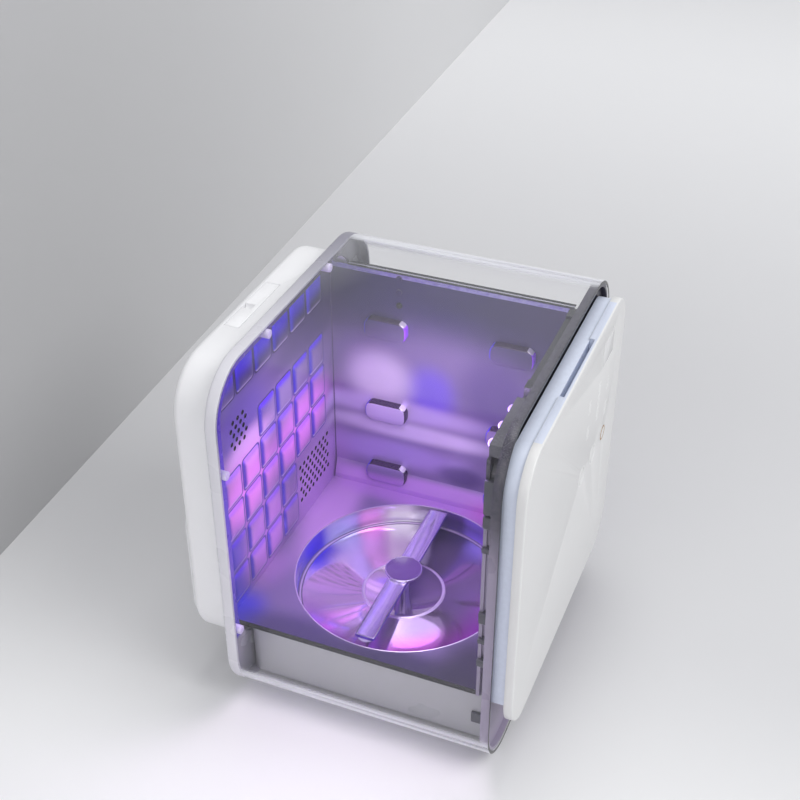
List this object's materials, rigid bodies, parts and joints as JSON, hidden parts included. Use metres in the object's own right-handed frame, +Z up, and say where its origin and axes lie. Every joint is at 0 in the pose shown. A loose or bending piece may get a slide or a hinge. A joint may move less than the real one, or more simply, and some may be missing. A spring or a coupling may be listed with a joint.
{
  "type": "uv steriliser",
  "caption": "Bench-top ultraviolet steriliser with a clear wrap, an open steel cavity, a turning reflector bar, a white rear cover and a drop-down door with push keys.",
  "frame": {"origin": "middle of the appliance's bounding box, on the surface that the feet stand on", "axes": "+X across the door towards the steel side wall, +Y from the door to the rear cover, +Z up"},
  "size_m": [0.302, 0.305, 0.344],
  "materials": {
    "clear_acrylic": "clear, polished",
    "white_plastic": "satin gloss white",
    "bright_steel": "bright zinc",
    "grey_plastic": "fine matt",
    "dark_plastic": "fine matt",
    "dark_rubber": "matt",
    "magnet": "nickel plated",
    "black_plastic": "matt",
    "red_plastic": "matt",
    "satin_aluminium": "satin",
    "violet_lens": "domed, lit violet",
    "liner_steel": "bright annealed, violet tinted by the lamps",
    "base_grey": "fine satin grey",
    "mirror_steel": "mirror polish",
    "bronze": "plain",
    "violet_cap": "dark violet gloss",
    "pale_rubber": "satin",
    "filter_paper": "pleated",
    "board_green": "solder mask",
    "band_white": "satin, bluish white",
    "window_white": "gloss",
    "bronze_ring": "pale bronze ring",
    "key_white": "satin"
  },
  "bodies": {
    "cabinet": {"outer_wrap": "clear_acrylic", "rear_rim": "white_plastic", "rear_cover": "white_plastic", "rear_grille": "white_plastic", "locating_pegs": "white_plastic", "cover_screws": "bright_steel", "front_frame": "grey_plastic", "frame_clips": "dark_plastic", "top_ledge": "dark_plastic", "door_seal": "dark_rubber", "hinge_brackets": "bright_steel", "hinge_pins": "bright_steel", "frame_magnets": "magnet", "door_switch": "black_plastic", "uv_lamp_bar": "satin_aluminium", "uv_lenses": "violet_lens", "liner_side_wall": "liner_steel", "liner_back_wall": "liner_steel", "floor_pan": "liner_steel", "wall_rivets": "bright_steel", "temp_sensor": "black_plastic", "base_box": "base_grey", "hub_post": "mirror_steel", "post_bushing": "bronze", "drive_motor": "bright_steel", "fan_housing": "black_plastic", "heater_block": "satin_aluminium", "filter_guide": "white_plastic", "power_board": "board_green", "board_posts": "bronze", "power_inlet": "black_plastic", "feet": "dark_rubber"},
    "door": {"door_slab": "white_plastic", "door_liner": "band_white", "display_window": "window_white", "control_board": "board_green", "key_switches": "black_plastic", "hinge_lugs": "bright_steel", "door_magnets": "magnet"},
    "reflector": {"drive_shaft": "bright_steel", "reflector_bar": "mirror_steel", "hub_cap": "violet_cap", "bar_pads": "pale_rubber"},
    "fan": {"fan_impeller": "black_plastic"},
    "door_plunger": {"switch_plunger": "red_plastic"},
    "air_filter": {"filter_tray": "white_plastic", "filter_pad": "filter_paper"},
    "power_key": {"power_button": "bronze_ring"},
    "mode_key": {"mode_button": "key_white"},
    "start_key": {"start_button": "key_white"}
  },
  "joints": [
    {"name": "door_hinge", "type": "hinge", "parent": "cabinet", "child": "door", "pos_m": [0, -0.138, 0.056], "axis": [1, 0, 0], "range_deg": [0, 90]},
    {"name": "reflector_spin", "type": "hinge", "parent": "cabinet", "child": "reflector", "pos_m": [0, 0, 0.062], "axis": [0, 0, 1], "continuous": true},
    {"name": "fan_spin", "type": "hinge", "parent": "cabinet", "child": "fan", "pos_m": [0.062, 0.137, 0.105], "axis": [0, 1, 0], "continuous": true},
    {"name": "filter_slide", "type": "slide", "parent": "cabinet", "child": "air_filter", "axis": [0, 0, 1], "range_m": [0, 0.06]},
    {"name": "plunger_push", "type": "slide", "parent": "cabinet", "child": "door_plunger", "axis": [0, 1, 0], "range_m": [0, 0.0014], "stiffness_N_per_m": 300},
    {"name": "power_key_push", "type": "slide", "parent": "door", "child": "power_key", "axis": [0, 1, 0], "range_m": [0, 0.0008], "stiffness_N_per_m": 1500},
    {"name": "mode_key_push", "type": "slide", "parent": "door", "child": "mode_key", "axis": [0, 1, 0], "range_m": [0, 0.0008], "stiffness_N_per_m": 1500},
    {"name": "start_key_push", "type": "slide", "parent": "door", "child": "start_key", "axis": [0, 1, 0], "range_m": [0, 0.0008], "stiffness_N_per_m": 1500}
  ]
}
